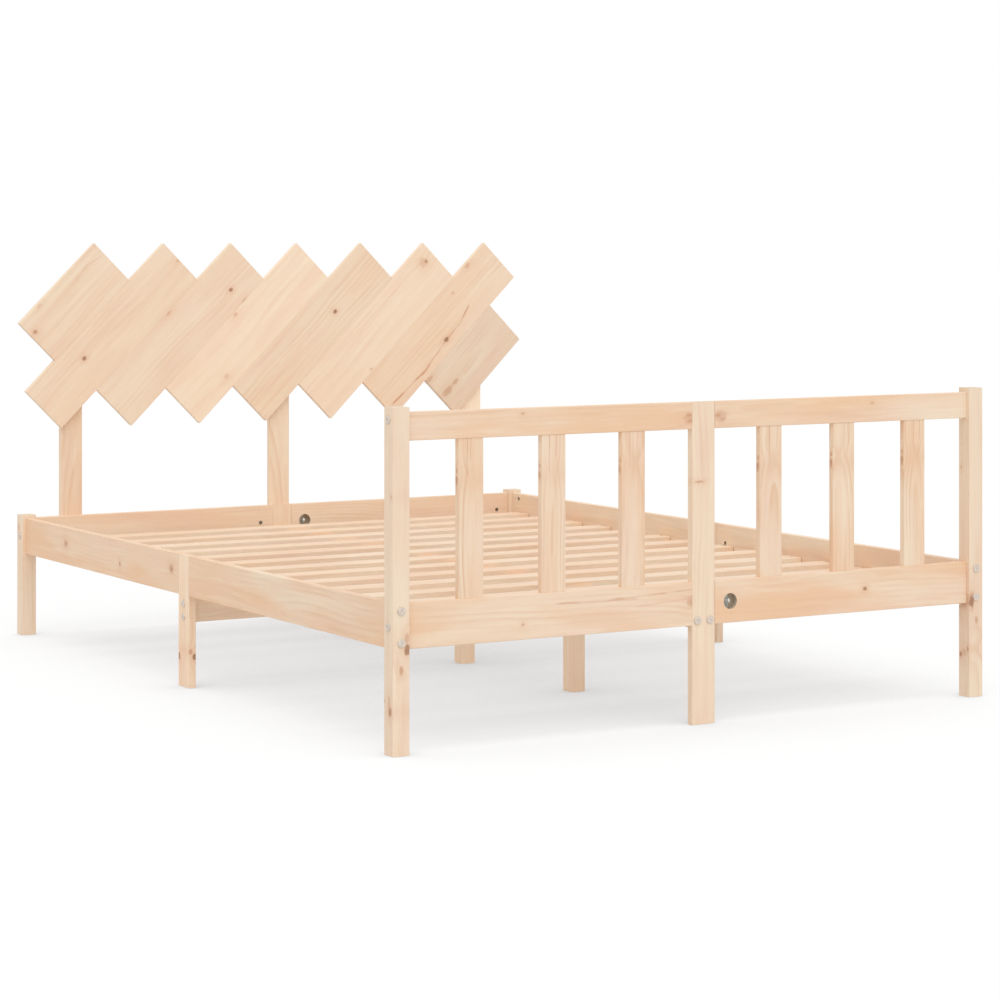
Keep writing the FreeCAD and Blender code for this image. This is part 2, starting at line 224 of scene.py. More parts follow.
def seatsOf(node, facing, longest):
    # outer end, direction into the wood and length of every fastener in a node
    seats = []
    for low, high in looseParts(node):
        size = high - low
        axis = (max if longest else min)(range(3), key=lambda i: size[i])
        middle = (low + high) / 2
        into = Vector((0, 0, 0))
        into[axis] = facing(axis, middle)
        seats.append((middle - into * size[axis] / 2, into, size[axis]))
    return seats


def towardsMiddle(axis, middle):
    return -sign(middle[axis])


def towardsLow(axis, middle):
    return -1


def screwWay(axis, middle):
    return sign(middle.x) if axis == 0 else -1


def nutWay(axis, middle):
    # away from the face that the nut was put in from
    if axis == 0:
        return sign(middle.x)
    return -1 if axis == 1 and middle.y < headEndFrom else 1


def placedAt(point, into, across=None):
    # the tools and fasteners are made pointing down, with their outer end at the origin
    up = -into.normalized()
    side = across or Vector((0, 1, 0) if isAlong(into, 2) else (0, 0, 1))
    front = up.cross(side).normalized()
    side = front.cross(up)
    turn = Matrix((side, front, up)).transposed().to_4x4()
    return Matrix.Translation(point) @ turn


boltNodes = ("corner_bolts", "leg_bolts", "upright_bolts")
innerNodes = ("joint_rods", "hex_nuts", "dowels", "insert_nuts", "leg_studs")
fastenerWays = {**dict.fromkeys(boltNodes, towardsMiddle), "wood_screws": screwWay,
                "barrel_nuts": nutWay, **dict.fromkeys(innerNodes, towardsLow)}
seats = {node: seatsOf(node, way, node != "hex_nuts") for node, way in fastenerWays.items()}


def spots(node):
    return [placedAt(point, into) for point, into, length in seats[node]]


def lengthOf(node):
    return seats[node][0][2]


print("fasteners found:", {name: len(found) for name, found in seats.items()})


# Sizes of the fasteners, which their holes follow

bolt = {
    "shank": 0.003, "pitch": 0.001, "thread": 0.02, "corners": 40,
    "plainLeast": 0.002,             # bare shank under the head
    "headRadius": 0.0085, "headHeight": 0.0022, "rim": 0.0007,
    "rimMiddle": (0.0002, 0.0003),   # drop and inset, halfway round the rim
    "socket": 0.0036, "socketDepth": 0.0009,
}
barrelNut = {
    "radius": 0.005, "length": 0.014, "bevel": 0.0005, "corners": 36,
    "bore": 0.0033, "boreReach": 0.02, "slot": (0.02, 0.0013, 0.003),
    "sink": 0.002,                   # how deep it lies under the face
    "sinkBelow": 0.008,              # and where it was put in from below
}
pullJoint = {
    "rod": 0.003, "pitch": 0.001, "thread": 0.035, "rodCorners": 28, "bore": 0.0033,
    "nutAcross": 0.01, "nutHeight": 0.005, "nutRound": 0.006, "nutCorners": 48,
    "nutBevel": (0.0006, 0.001),     # along the rod, and towards it
    "nutReach": 0.02, "washerReach": 0.06,
    "washerRadius": 0.0162, "washerWidth": 0.01, "washerBevel": 0.0005,
    "washerFlat": -0.0035, "flatBevel": 0.0004,
    "pocketRadius": 0.0165, "pocketFloor": 0.003, "corners": 64,
    "pocketInset": 0.0385,           # from the leg to the pocket's middle
    "railHalf": 0.009,
}
screw = {
    "headRadius": 0.004, "headHeight": 0.003, "rim": 0.0003, "rimInset": 0.0001,
    "shank": 0.002, "pitch": 0.0022, "threadFrom": 0.01, "point": 0.004, "tip": 0.0003,
    "recess": (0.0044, 0.001, 0.003), "holeDepth": 0.028, "corners": 20,
}
dowel = {
    "radius": 0.004, "length": 0.03, "bevel": 0.0008,
    "flute": 0.00025, "fluteInset": 0.0001,
    "corners": 24,                   # every other one is a flute
    "look": {"ringGap": 0.002, "grain": 0.6, "warmth": 1.0, "tone": 0.9},
}
insertNut = {
    "radius": 0.0045, "length": 0.013, "pitch": 0.0026, "corners": 28,
    "bore": 0.0032, "boreReach": 0.04, "studCorners": 24,
}


# Drills for the holes, each made once and copied to every place

drilling = {
    "gap": 0.0003,      # clearance all round a fastener
    "overrun": 0.001,   # how far a drill starts outside the wood
    "corners": 32,
}
gap, overrun = drilling["gap"], drilling["overrun"]
drills = []        # tool, where it goes, and the box that it reaches
pocketPlaces = []  # middle of the board at the pocket, and the way that it opens
for node, face in (("foot_bottom_rail_right", (0, -1, 0)), ("foot_top_rail_right", (0, 1, 0)),
                   ("head_rail_right", (0, -1, 0)), ("side_rail_left_rear", (1, 0, 0)),
                   ("side_rail_right_rear", (-1, 0, 0))):
    low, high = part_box(node)
    middle = (low + high) / 2
    along = 1 if face[0] else 0
    middle[along] = low[along] + pullJoint["pocketInset"]
    pocketPlaces.append((middle, Vector(face)))


def addDrills(tool, places):
    for place in places:
        drills.append((tool, place, *boxAround([place @ Vector(corner)
                                                for corner in tool.bound_box])))


def roundDrill(name, radius, depth, start):
    # fasteners of one size share a drill
    return (bpy.data.objects.get(name)
            or turnShape(name, [(start, radius), (-depth, radius)], drilling["corners"]))


for node in boltNodes:
    for point, into, length in seats[node]:
        tool = roundDrill("drill%d" % round(length * 1000), bolt["shank"] + gap, length + gap,
                          overrun)
        addDrills(tool, [placedAt(point, into)])
for node, radius, depth, start in (
        ("joint_rods", pullJoint["rod"], lengthOf("joint_rods") + gap, 0),
        ("dowels", dowel["radius"], dowel["length"] + gap, gap),
        ("insert_nuts", insertNut["radius"], insertNut["length"] + overrun, overrun),
        ("leg_studs", bolt["shank"], lengthOf("leg_studs") + gap, gap)):
    addDrills(roundDrill(pieceName(node) + "Drill", radius + gap, depth, start), spots(node))
screwShank = screw["shank"] + gap
addDrills(turnShape("screwDrill", [(gap, screw["headRadius"] + gap),
                                   (gap - screw["headHeight"], screwShank),
                                   (-screw["holeDepth"] - gap, screwShank)], screw["corners"]),
          spots("wood_screws"))
for point, into, length in seats["barrel_nuts"]:
    sink = barrelNut["sinkBelow" if isAlong(into, 2) else "sink"] + overrun
    tool = roundDrill("nutDrill%d" % round(sink * 1000), barrelNut["radius"] + gap,
                      barrelNut["length"] + gap, sink)
    addDrills(tool, [placedAt(point, into)])
railHalf = pullJoint["railHalf"]
pocketDrill = turnShape("pocketDrill", [
    (overrun, pullJoint["pocketRadius"]),
    (pullJoint["pocketFloor"] - 2 * railHalf, pullJoint["pocketRadius"])], pullJoint["corners"])
addDrills(pocketDrill, [placedAt(point + face * railHalf, -face) for point, face in pocketPlaces])
print("drills ready:", len(drills))


# Wood and metal

nodeGrid = {"perRow": 9, "width": 190, "height": 230}


def paint(red, green, blue):
    # a colour as the eye reads it, 0 to 255, turned into a node's own scale
    def linear(value):
        value /= 255
        return value / 12.92 if value <= 0.04045 else ((value + 0.055) / 1.055) ** 2.4
    return (linear(red), linear(green), linear(blue), 1)


def feed(tree, node, given):
    # given says what goes into each input: a value, or another node's output
    for name, value in given.items():
        if isinstance(value, bpy.types.NodeSocket):
            tree.links.new(value, node.inputs[name])
        else:
            node.inputs[name].default_value = value


def addNode(tree, kind, given=None, **settings):
    node = tree.nodes.new(kind)
    row, column = divmod(len(tree.nodes), nodeGrid["perRow"])
    node.location = (column * nodeGrid["width"], -row * nodeGrid["height"])
    for name, value in settings.items():
        setattr(node, name, value)
    feed(tree, node, given or {})
    return node


def calc(tree, operation, *values):
    node = addNode(tree, "ShaderNodeMath", dict(enumerate(values)), operation=operation)
    return node.outputs[0]


def times(tree, first, second):
    return calc(tree, "MULTIPLY", first, second)


def plus(tree, first, second):
    return calc(tree, "ADD", first, second)


def calcVector(tree, operation, *values):
    node = addNode(tree, "ShaderNodeVectorMath", dict(enumerate(values)), operation=operation)
    return node.outputs["Value" if operation in ("LENGTH", "DOT_PRODUCT") else "Vector"]


def scaleVector(tree, vector, factor):
    node = addNode(tree, "ShaderNodeVectorMath", {0: vector, "Scale": factor}, operation="SCALE")
    return node.outputs["Vector"]


def splitVector(tree, vector):
    return addNode(tree, "ShaderNodeSeparateXYZ", {0: vector}).outputs


def swing(tree, value, reach, middle=0.0):
    # a value from 0 to 1 swings half of the reach to either side of the middle
    return calc(tree, "MULTIPLY_ADD", value, reach, middle - reach / 2)


def smoothStep(tree, value, start, end, low=0.0, high=1.0):
    return addNode(tree, "ShaderNodeMapRange",
                   {"Value": value, "From Min": start, "From Max": end, "To Min": low,
                    "To Max": high}, interpolation_type="SMOOTHSTEP").outputs["Result"]


def band(tree, value, rise, fall):
    return times(tree, smoothStep(tree, value, *rise), smoothStep(tree, value, *fall, 1.0, 0.0))


def noise(tree, place, waves, detail=2.0, roughness=0.5):
    # waves holds how many fit into a metre along, across and through the board
    given = {"Vector": calcVector(tree, "MULTIPLY", place, waves), "Scale": 1,
             "Detail": detail, "Roughness": roughness}
    return addNode(tree, "ShaderNodeTexNoise", given, noise_dimensions="3D").outputs["Fac"]


def mixColour(tree, factor, first, second):
    # sockets 6, 7 and 2 are the ones for colours
    node = addNode(tree, "ShaderNodeMix", data_type="RGBA")
    feed(tree, node, {"Factor": factor, 6: first, 7: second})
    return node.outputs[2]


def newGroup(name, given, made):
    # given and made hold the labels of each kind of socket
    tree = bpy.data.node_groups.new(name, "ShaderNodeTree")
    for side, sockets in (("INPUT", given), ("OUTPUT", made)):
        for kind, labels in sockets.items():
            for label in labels:
                tree.interface.new_socket(name=label, in_out=side,
                                          socket_type="NodeSocket" + kind)
    return tree, addNode(tree, "NodeGroupInput").outputs, addNode(tree, "NodeGroupOutput")


def addGroup(tree, group, given):
    node = addNode(tree, "ShaderNodeGroup")
    node.node_tree = group
    feed(tree, node, given)
    return node


def newMaterial(name):
    material = bpy.data.materials.new(name)
    material.use_nodes = True
    tree = material.node_tree
    source = addNode(tree, "ShaderNodeTexCoord").outputs
    return material, tree, tree.nodes["Principled BSDF"], source


def addBump(tree, height, strength, depth):
    node = addNode(tree, "ShaderNodeBump",
                   {"Height": height, "Strength": strength, "Distance": depth})
    return node.outputs["Normal"]


pineColours = {
    "pale": paint(243, 223, 198),
    "late": paint(226, 184, 148),     # the darker line at the end of each year's growth
    "warm": paint(240, 200, 164),
    "rosy": paint(238, 203, 180),
    "cream": paint(251, 236, 212),
    "knotHalo": paint(226, 174, 138),
    "softKnot": paint(208, 158, 124),
    "tightKnot": paint(160, 118, 88),
    "knotRim": paint(126, 92, 68),
    "streak": paint(206, 144, 106),
}
knotMarks = ("Bend", "Core", "Rim", "Halo")
knotForm = {
    # lengths are in the knot's own radii, apart from the last
    "waves": (110, 170, 170), "ragged": 0.9, "coreEdge": (0.45, 1.25),
    "rimRise": (0.5, 0.8), "rimFall": (0.85, 1.1),
    "rimPower": 4.0,      # only a strong knot has a dark rim
    "haloFall": 0.2, "haloMost": 0.8, "bendFall": 0.1,
    "bendMost": 0.008,    # metres
}


def makeKnotGroup():
    # one branch that runs through a board; the years' lines bend round it
    form = knotForm
    tree, given, result = newGroup(
        "pineKnot",
        {"Vector": ("Place", "Centre", "Reach"), "Float": ("Strength", *knotMarks)},
        {"Float": knotMarks})
    strength = given["Strength"]
    ragged = swing(tree, noise(tree, given["Place"], form["waves"]), form["ragged"])
    away = calcVector(tree, "SUBTRACT", given["Place"], given["Centre"])
    away = calcVector(tree, "MULTIPLY", away, given["Reach"])
    distance = plus(tree, calcVector(tree, "LENGTH", away), ragged)
    core = times(tree, smoothStep(tree, distance, *form["coreEdge"], 1.0, 0.0), strength)
    rim = times(tree, band(tree, distance, form["rimRise"], form["rimFall"]),
                calc(tree, "POWER", strength, form["rimPower"]))
    squared = times(tree, distance, distance)
    halo = calc(tree, "EXPONENT", times(tree, squared, -form["haloFall"]))
    halo = times(tree, halo, calc(tree, "MINIMUM", strength, form["haloMost"]))
    bend = calc(tree, "EXPONENT", times(tree, squared, -form["bendFall"]))
    bend = times(tree, bend, times(tree, strength, form["bendMost"]))
    feed(tree, result, {"Bend": plus(tree, given["Bend"], bend),
                        **{label: calc(tree, "MAXIMUM", given[label], mark)
                           for label, mark in (("Core", core), ("Rim", rim), ("Halo", halo))}})
    return tree


streakForm = {
    "waves": (16, 2, 2),
    "wander": 0.006,         # metres from side to side
    "edge": (0.25, 1.0),     # in the streak's own widths
    "rise": (-0.02, 0.1),    # shares of its length
    "fall": (0.9, 1.02),
    "breakWaves": (22, 40, 40),
    "breaks": (0.35, 0.6),
    "breakLeast": 0.35,
}


def makeStreakGroup():
    # a thin line of resin that wanders along the grain between two points
    form = streakForm
    tree, given, result = newGroup(
        "resinStreak",
        {"Vector": ("Place", "Start", "End"), "Float": ("Width", "Strength", "Streak")},
        {"Float": ("Streak",)})
    wander = swing(tree, noise(tree, given["Place"], form["waves"]), form["wander"])
    run = calcVector(tree, "SUBTRACT", given["End"], given["Start"])
    offset = calcVector(tree, "SUBTRACT", given["Place"], given["Start"])
    length = calcVector(tree, "DOT_PRODUCT", run, run)
    share = calc(tree, "DIVIDE", calcVector(tree, "DOT_PRODUCT", offset, run), length)
    aside = calcVector(tree, "SUBTRACT", offset, scaleVector(tree, run, share))
    distance = calc(tree, "ABSOLUTE", plus(tree, splitVector(tree, aside)["Y"], wander))
    line = smoothStep(tree, calc(tree, "DIVIDE", distance, given["Width"]), *form["edge"], 1.0, 0.0)
    line = times(tree, line, band(tree, share, form["rise"], form["fall"]))
    breaks = smoothStep(tree, noise(tree, given["Place"], form["breakWaves"]), *form["breaks"],
                        form["breakLeast"], 1.0)
    line = times(tree, line, times(tree, breaks, given["Strength"]))
    feed(tree, result, {"Streak": calc(tree, "MAXIMUM", given["Streak"], line)})
    return tree


grainWaves = {
    "slow": (1.9, 6, 6), "slower": (1.5, 3, 4), "fine": (9, 42, 42), "patches": (5.5, 24, 24),
    "drift": (2.6, 11, 11), "blush": (3.5, 17, 17), "streaks": (5.0, 72, 72),
    "fibres": (30, 1300, 1300), "pores": (45, 420, 420),
}
grainForm = {
    # metres that the pith line sways, and that the rings widen along a metre
    "slow": 0.05,
    "slower": 0.07,
    "fine": 0.005,
    "taper": 0.006,
    # how a board's own shift of the pattern is shared out
    "shift": {"X": 1.0, "Y": 0.37, "Z": 0.71},
    # shares of a year's growth, and how faint a year or a patch may be
    "lateRise": (0.25, 0.86),
    "lateFall": (0.9, 1.0),
    "yearLeast": 0.15,
    "patches": (0.34, 0.66, 0.1, 1.0),
    # the noise where each tone starts and is full, and how much of it shows there
    "drift": (0.3, 0.7),
    "blush": (0.42, 0.72),
    "blushMost": 0.42,
    "darkLines": (0.52, 0.74, 0.0, 0.42),
    "paleLines": (0.3, 0.46, 0.25, 0.0),
    "haloMost": 0.6,
    "softCore": (0.0, 0.7, 0.0, 0.8),
    "tightCore": (0.55, 1.0, 0.0, 0.85),
    "rimMost": 0.7,
    "cutEnd": (0.6, 0.95, 1.0, 0.9),
    # how much the fibres and pores change the tone
    "fibreTone": 0.07,
    "poreTone": 0.06,
    "roughness": (0.16, 0.5, -0.08),    # of the fibres, of the wood, of a late ring
    "height": (0.55, 0.35, 0.5),        # of the fibres, of a late ring, of a knot
}


def makePineGroup():
    waves, form = grainWaves, grainForm
    tree, given, result = newGroup(
        "sandedPine",
        {"Vector": ("Place", "Facing", "Pith"),
         "Float": ("Ring Gap", "Grain", "Warmth", "Tone", *knotMarks, "Streak")},
        {"Color": ("Colour",), "Float": ("Roughness", "Height")})
    spot, pith = splitVector(tree, given["Place"]), splitVector(tree, given["Pith"])
    # a shift that no two boards share
    shift = addNode(tree, "ShaderNodeCombineXYZ", {
        name: times(tree, pith["X"], share) for name, share in form["shift"].items()})
    place = calcVector(tree, "ADD", given["Place"], shift.outputs[0])

    # rings about the pith line, which wanders slowly along the board
    slow = swing(tree, noise(tree, place, waves["slow"]), form["slow"])
    slower = swing(tree, noise(tree, place, waves["slower"], detail=1), form["slower"])
    fine = swing(tree, noise(tree, place, waves["fine"], detail=3), form["fine"])
    across = plus(tree, calc(tree, "SUBTRACT", spot["Y"], pith["Y"]), slow)
    through = plus(tree, calc(tree, "SUBTRACT", spot["Z"], pith["Z"]), slower)
    radius = calc(tree, "SQRT", plus(tree, times(tree, across, across),
                                     times(tree, through, through)))
    radius = plus(tree, radius, plus(tree, fine, given["Bend"]))
    radius = calc(tree, "MULTIPLY_ADD", spot["X"], form["taper"], radius)
    years = calc(tree, "DIVIDE", radius, given["Ring Gap"])
    late = band(tree, calc(tree, "FRACT", years), form["lateRise"], form["lateFall"])
    year = addNode(tree, "ShaderNodeCombineXYZ",
                   {"X": calc(tree, "FLOOR", years), "Y": pith["X"]}).outputs[0]
    luck = addNode(tree, "ShaderNodeTexWhiteNoise", noise_dimensions="2D")
    feed(tree, luck, {"Vector": year})
    strength = calc(tree, "MULTIPLY_ADD", luck.outputs["Value"], 1 - form["yearLeast"],
                    form["yearLeast"])
    patches = smoothStep(tree, noise(tree, place, waves["patches"]), *form["patches"])
    late = times(tree, late, times(tree, strength, patches))

    # slow drift of the tone, streaks along the grain and fine fibres
    drift = smoothStep(tree, noise(tree, place, waves["drift"]), *form["drift"])
    blush = smoothStep(tree, noise(tree, place, waves["blush"]), *form["blush"])
    streaks = noise(tree, place, waves["streaks"], detail=3, roughness=0.55)
    fibres = noise(tree, place, waves["fibres"], detail=2, roughness=0.6)
    pores = noise(tree, place, waves["pores"])
    warmed = calc(tree, "MAXIMUM", times(tree, drift, given["Warmth"]),
                  calc(tree, "SUBTRACT", given["Warmth"], 1.0))
    darkLines = smoothStep(tree, streaks, *form["darkLines"])
    colour = pineColours["pale"]
    for tone, share in (
            ("warm", warmed),
            ("rosy", times(tree, blush, form["blushMost"])),
            ("late", times(tree, late, given["Grain"])),
            ("late", times(tree, darkLines, given["Grain"])),
            ("cream", smoothStep(tree, streaks, *form["paleLines"])),
            ("knotHalo", times(tree, given["Halo"], form["haloMost"])),
            ("streak", given["Streak"]),
            ("softKnot", smoothStep(tree, given["Core"], *form["softCore"])),
            ("tightKnot", smoothStep(tree, given["Core"], *form["tightCore"])),
            ("knotRim", times(tree, given["Rim"], form["rimMost"]))):
        colour = mixColour(tree, share, colour, pineColours[tone])

    # cut ends drink more light, and the whole board has its own tone
    facing = splitVector(tree, given["Facing"])
    cutEnd = smoothStep(tree, calc(tree, "ABSOLUTE", facing["X"]), *form["cutEnd"])
    value = times(tree, swing(tree, fibres, form["fibreTone"], 1),
                  swing(tree, pores, form["poreTone"], 1))
    value = times(tree, value, times(tree, cutEnd, given["Tone"]))
    fibreRough, woodRough, lateRough = form["roughness"]
    rough = calc(tree, "MULTIPLY_ADD", fibres, fibreRough, woodRough)
    fibreHigh, lateHigh, knotHigh = form["height"]
    height = calc(tree, "MULTIPLY_ADD", fibres, fibreHigh, times(tree, late, lateHigh))
    feed(tree, result, {
        "Colour": scaleVector(tree, colour, value),
        "Roughness": calc(tree, "MULTIPLY_ADD", late, lateRough, rough),
        "Height": calc(tree, "MULTIPLY_ADD", given["Core"], knotHigh, height)})
    return tree


knotGroup = makeKnotGroup()
streakGroup = makeStreakGroup()
pineGroup = makePineGroup()

grainWays = {
    # along the grain, across the board's face, and through the board
    "upright": ((0, 0, 1), (1, 0, 0), (0, 1, 0)),
    "sideUpright": ((0, 0, 1), (0, 1, 0), (-1, 0, 0)),
    "endRail": ((1, 0, 0), (0, 0, 1), (0, -1, 0)),
    "sideRail": ((0, 1, 0), (0, 0, 1), (1, 0, 0)),
    "flatAcross": ((1, 0, 0), (0, 1, 0), (0, 0, 1)),
    "flatAlong": ((0, 1, 0), (1, 0, 0), (0, 0, -1)),
    "slant": ((0.7071068, 0, 0.7071068), (0.7071068, 0, -0.7071068), (0, 1, 0)),
}
plainBoard = {
    "edge": 0.0015,
    "ringGap": 0.005,
    "grain": 0.5,
    "warmth": 0.5,     # above 1 the whole board is warm, and not only its patches
    "tone": 1.0,
    "pith": None,      # across and through, from the board's middle
    "knots": (),       # along, across, radius, strength and length; a sixth value marks a side knot
    "streaks": (),     # start, end, width and strength
}
freePith = {"across": (0.03, 0.1), "through": (0.03, 0.07), "shift": (1, 60)}
pineSurface = {"shine": 0.35, "bump": 0.5, "depth": 0.0002}


def addMarks(tree, group, labels, marks):
    # each mark adds to what the marks before it give, so that the last one has them all
    before = {}
    for mark in marks:
        node = addGroup(tree, group, {**mark, **before})
        before = {label: node.outputs[label] for label in labels}
    return before


def pineMaterial(name, middle, way, look):
    material, tree, shader, source = newMaterial(name)
    axes = Matrix(grainWays[way])
    turn = axes.to_euler("XYZ")
    place = addNode(tree, "ShaderNodeMapping", {
        "Vector": source["Object"], "Rotation": turn, "Location": -(axes @ middle)},
        vector_type="POINT").outputs[0]
    facing = addNode(tree, "ShaderNodeMapping", {"Vector": source["Normal"], "Rotation": turn},
                     vector_type="VECTOR").outputs[0]
    pith = look["pith"]
    if pith is None:
        pith = (chance.choice((-1, 1)) * chance.uniform(*freePith["across"]),
                chance.uniform(*freePith["through"]))
    knots = []
    for along, across, radius, strength, length, *side in look["knots"]:
        wide = 1 / radius
        knots.append({
            "Place": place, "Strength": strength,
            "Centre": (along, 0, across) if side else (along, across, 0),
            "Reach": (wide / length, 0, wide) if side else (wide / length, wide, 0)})
    streaks = [{"Place": place, "Start": (*start, 0), "End": (*end, 0), "Width": width,
                "Strength": strength} for start, end, width, strength in look["streaks"]]
    pine = addGroup(tree, pineGroup, {
        "Place": place, "Facing": facing, "Pith": (chance.uniform(*freePith["shift"]), *pith),
        "Ring Gap": look["ringGap"], "Grain": look["grain"], "Warmth": look["warmth"],
        "Tone": look["tone"], **addMarks(tree, knotGroup, knotMarks, knots),
        **addMarks(tree, streakGroup, ("Streak",), streaks)}).outputs
    feed(tree, shader, {
        "Base Color": pine["Colour"], "Roughness": pine["Roughness"],
        "Specular IOR Level": pineSurface["shine"],
        "Normal": addBump(tree, pine["Height"], pineSurface["bump"], pineSurface["depth"])})
    return material


metalForm = {
    "clouds": (260, 260, 260), "cloudEdge": (0.3, 0.7),
    "scratches": (900, 5200, 2600), "scratchRough": 0.22, "bump": 0.25, "depth": 0.00005,
}


def metalMaterial(name, light, dark, roughness):
    material, tree, shader, source = newMaterial(name)
    clouds = noise(tree, source["Object"], metalForm["clouds"], detail=3)
    scratches = noise(tree, source["Object"], metalForm["scratches"])
    feed(tree, shader, {
        "Base Color": mixColour(tree, smoothStep(tree, clouds, *metalForm["cloudEdge"]),
                                paint(*light), paint(*dark)),
        "Roughness": swing(tree, scratches, metalForm["scratchRough"], roughness),
        "Metallic": 1.0,
        "Normal": addBump(tree, scratches, metalForm["bump"], metalForm["depth"])})
    return material


drilledShadeForm = {
    "waves": (700, 700, 700), "edge": (0.3, 0.7),
    # greyer and darker than the pine, as painted shade inside the holes
    "light": (206, 190, 170), "dark": (178, 162, 142),
    "roughness": (0.2, 0.7),   # of the torn fibres, and of the wood
    "bump": 0.6, "depth": 0.0003,
}


def drilledShadeMaterial():
    # the torn end grain on the walls of a hole, greyer and darker than the pine: partly the real
    # torn grain, partly painted shade inside the hole
    form = drilledShadeForm
    material, tree, shader, source = newMaterial("drilledPine")
    torn = noise(tree, source["Object"], form["waves"], detail=3, roughness=0.6)
    feed(tree, shader, {
        "Base Color": mixColour(tree, smoothStep(tree, torn, *form["edge"]),
                                paint(*form["light"]), paint(*form["dark"])),
        "Roughness": calc(tree, "MULTIPLY_ADD", torn, *form["roughness"]),
        "Normal": addBump(tree, torn, form["bump"], form["depth"])})
    return material


drilledPine = drilledShadeMaterial()
# each drill leaves the painted shade of the hole on the walls that it cuts
for tool in {drill[0] for drill in drills}:
    tool.data.materials.append(drilledPine)
steel = metalMaterial("satinSteel", (228, 216, 204), (212, 200, 189), 0.46)
# zinc plate darker than it really is: painted shade for the half-moon washers inside the pockets,
# which the barrel nuts and insert nuts share
shadeDarkZinc = metalMaterial("zincPlate", (168, 166, 158), (132, 131, 124), 0.36)
# a lit copy of the same zinc, lighter than it really is: a painted highlight on the hex nuts in the
# pockets
brightZinc = metalMaterial("brightZinc", (236, 234, 226), (212, 210, 202), 0.38)
print("materials ready")


# Boards

boardEdges = {"steps": 3, "endShare": 0.4, "endSteps": 2}


def drillBoard(board, low, high):
    slack = Vector((accuracy["touch"],) * 3)
    low, high = low + slack, high - slack
    for tool, place, toolLow, toolHigh in drills:
        if all(toolLow[i] < high[i] and toolHigh[i] > low[i] for i in range(3)):
            cutWith(board, ownCopy(tool, place))


def sawBoard(name, low, high, axis, edge, turn=0.0, length=None, width=None):
    # axis is the one that the grain follows: 0 across the bed, 1 along it, 2 upright
    size = high - low
    if length:
        size = Vector((length, size.y, width))
    board = addNew(bpy.ops.mesh.primitive_cube_add, size=1, location=(low + high) / 2,
                   scale=size)
    board.name = board.data.name = name
    bpy.ops.object.transform_apply(location=False, rotation=False, scale=True)
    half = size[axis] / 2

    def isLong(part):
        run = part.verts[1].co - part.verts[0].co
        return abs(run[axis]) > half

    def isEnd(part):
        return all(abs(abs(vert.co[axis]) - half) < accuracy["level"] for vert in part.verts)

    bevelWhere(board, isLong, edge, boardEdges["steps"])
    bevelWhere(board, isEnd, edge * boardEdges["endShare"], boardEdges["endSteps"])
    if turn:
        board.rotation_euler.y = turn
    setPlace(board)
    return board


def finishBoard(board, node):
    finishShading(board)
    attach(board, "root")
    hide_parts(node)


def makeBoard(node, way, look):
    look = {**plainBoard, **look}
    low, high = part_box(node)
    name = pieceName(node)
    if way == "slant":
        reach = (high.x - low.x) * math.sqrt(2)
        board = sawBoard(name, low, high, 0, look["edge"], -quarterTurn / 2,
                         reach - look["width"], look["width"])
    else:
        along = grainWays[way][0]
        board = sawBoard(name, low, high, along.index(1), look["edge"])
    board.data.materials.append(pineMaterial(name + "Pine", (low + high) / 2, way, look))
    drillBoard(board, low, high)
    finishBoard(board, node)


def makeBoards(boards, way, **shared):
    for node, look in boards.items():
        makeBoard(node, way, {**shared, **look})


# Corner posts and the flat legs between the rails' halves
posts = {
    "foot_post_left": {
        "ringGap": 0.0075, "pith": (0.01, 0.028), "warmth": 0.2, "knots": (
            (-0.132, 0.013, 0.0062, 0.88, 1.9), (-0.109, 0.013, 0.006, 0.46, 2.0),
            (-0.172, 0.0, 0.0042, 0.6, 2.3), (-0.252, -0.0065, 0.0068, 0.76, 1.4, "side"),
            (-0.234, -0.003, 0.007, 0.36, 2.4, "side"),
            (-0.233, 0.017, 0.0034, 0.55, 1.3, "side"),
            (0.164, -0.012, 0.003, 0.45, 2.0, "side"))},
    "foot_post_right": {
        "ringGap": 0.007, "pith": (-0.008, 0.032), "warmth": 0.2, "tone": 0.98, "knots": (
            (-0.127, -0.013, 0.01, 0.5, 2.2), (-0.13, -0.012, 0.006, 0.92, 2.1),
            (-0.17, 0.001, 0.0044, 0.52, 2.2), (-0.242, 0.0, 0.0115, 0.34, 0.9, "side"),
            (-0.247, 0.0115, 0.004, 0.8, 1.4, "side"),
            (-0.233, -0.0125, 0.0036, 0.65, 1.8, "side"),
            (0.163, 0.009, 0.003, 0.35, 1.6, "side"))},
    "head_post_left": {"ringGap": 0.0065, "knots": ((0.12, 0.006, 0.005, 0.45, 1.8, "side"),)},
    "head_post_right": {"ringGap": 0.0065},
    "foot_mid_post": {
        "ringGap": 0.01, "pith": (0.05, 0.02), "warmth": 0.15, "grain": 0.4,
        "knots": ((0.168, -0.011, 0.011, 0.55, 0.28),)},
    "head_mid_leg": {"ringGap": 0.008},
}
makeBoards(posts, "upright", warmth=0.4)
sideLegs = {
    "side_leg_left": {"tone": 1.08, "knots": (
        (-0.081, 0.026, 0.0085, 0.9, 1.2), (-0.078, -0.005, 0.0048, 0.95, 1.4, "side"),
        (-0.066, 0.004, 0.0046, 0.6, 1.4, "side"))},
    "side_leg_right": {},
}
makeBoards(sideLegs, "sideUpright", ringGap=0.008, warmth=0.4)
print("posts and legs made")

